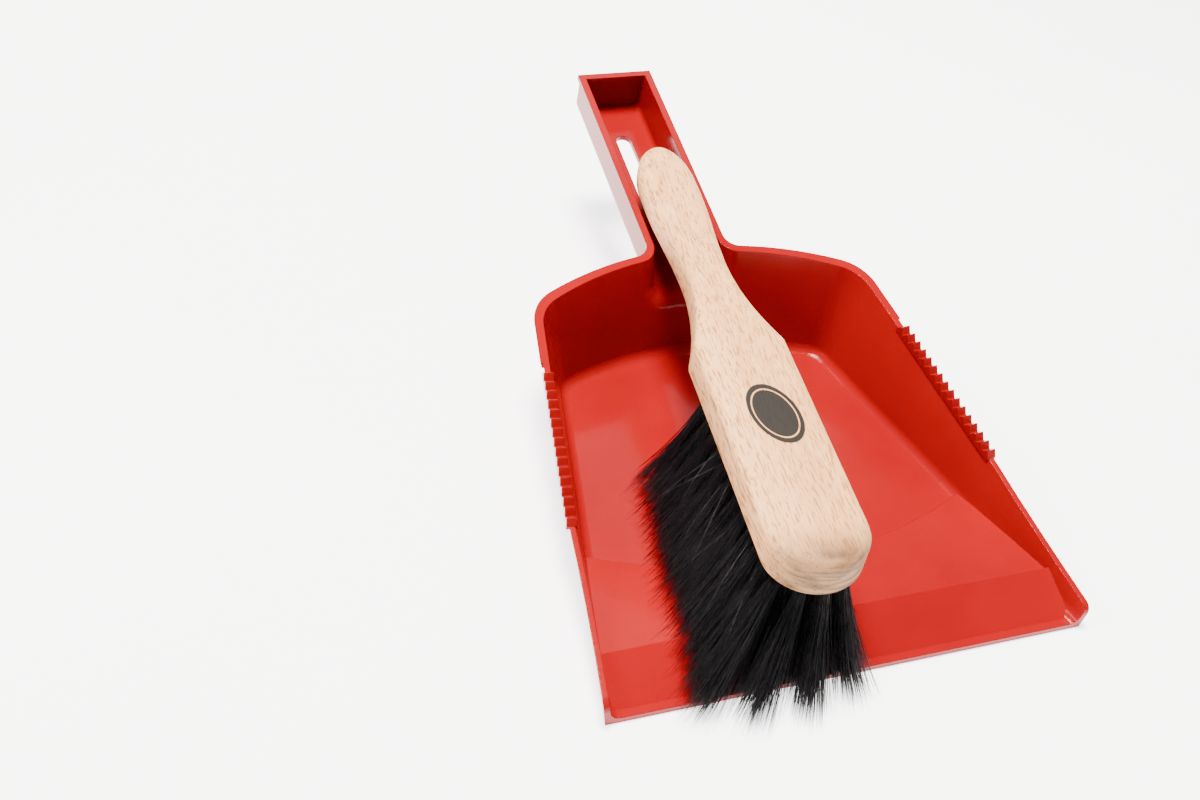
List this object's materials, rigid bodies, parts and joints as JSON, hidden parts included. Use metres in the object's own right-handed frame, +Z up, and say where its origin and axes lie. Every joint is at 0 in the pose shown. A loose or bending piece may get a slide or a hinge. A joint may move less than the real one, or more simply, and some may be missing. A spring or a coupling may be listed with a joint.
{
  "type": "dust pan and brush set",
  "caption": "Moulded dust pan with toothed side rims and an open channel handle, with a wooden hand brush laid in it, its handle in the channel.",
  "frame": {"origin": "on the pan's middle plane, under the front edge of the lip, on the surface that the pan stands on", "axes": "+X to the right seen from behind the handle's open side, +Y from the lip to the handle, +Z up"},
  "size_m": [0.1888, 0.3163, 0.0705],
  "materials": {
    "pan_plastic": "glossy moulded red",
    "beech": "sanded, unlacquered",
    "bristle": "fine black filament",
    "staple_wire": "flat wire"
  },
  "bodies": {
    "pan": {"pan": "pan_plastic"},
    "brush": {"brush_block": "beech", "tuft_staples": "staple_wire", "tuft_01": "bristle", "tuft_02": "bristle", "tuft_03": "bristle", "tuft_04": "bristle", "tuft_05": "bristle", "tuft_06": "bristle", "tuft_07": "bristle", "tuft_08": "bristle", "tuft_09": "bristle", "tuft_10": "bristle", "tuft_11": "bristle", "tuft_12": "bristle", "tuft_13": "bristle", "tuft_14": "bristle", "tuft_15": "bristle", "tuft_16": "bristle", "tuft_17": "bristle", "tuft_18": "bristle", "tuft_19": "bristle", "tuft_20": "bristle", "tuft_21": "bristle", "tuft_22": "bristle", "tuft_23": "bristle", "tuft_24": "bristle", "tuft_25": "bristle", "tuft_26": "bristle", "tuft_27": "bristle", "tuft_28": "bristle", "tuft_29": "bristle", "tuft_30": "bristle", "tuft_31": "bristle", "tuft_32": "bristle", "tuft_33": "bristle", "tuft_34": "bristle", "tuft_35": "bristle", "tuft_36": "bristle", "tuft_37": "bristle", "tuft_38": "bristle", "tuft_39": "bristle", "tuft_40": "bristle", "tuft_41": "bristle", "tuft_42": "bristle", "tuft_43": "bristle", "tuft_44": "bristle", "tuft_45": "bristle", "tuft_46": "bristle", "tuft_47": "bristle", "tuft_48": "bristle", "tuft_49": "bristle", "tuft_50": "bristle"}
  },
  "joints": [
    {"name": "brush_lift", "type": "slide", "parent": "pan", "child": "brush", "axis": [0, 0, 1], "range_m": [0, 0.15]}
  ]
}
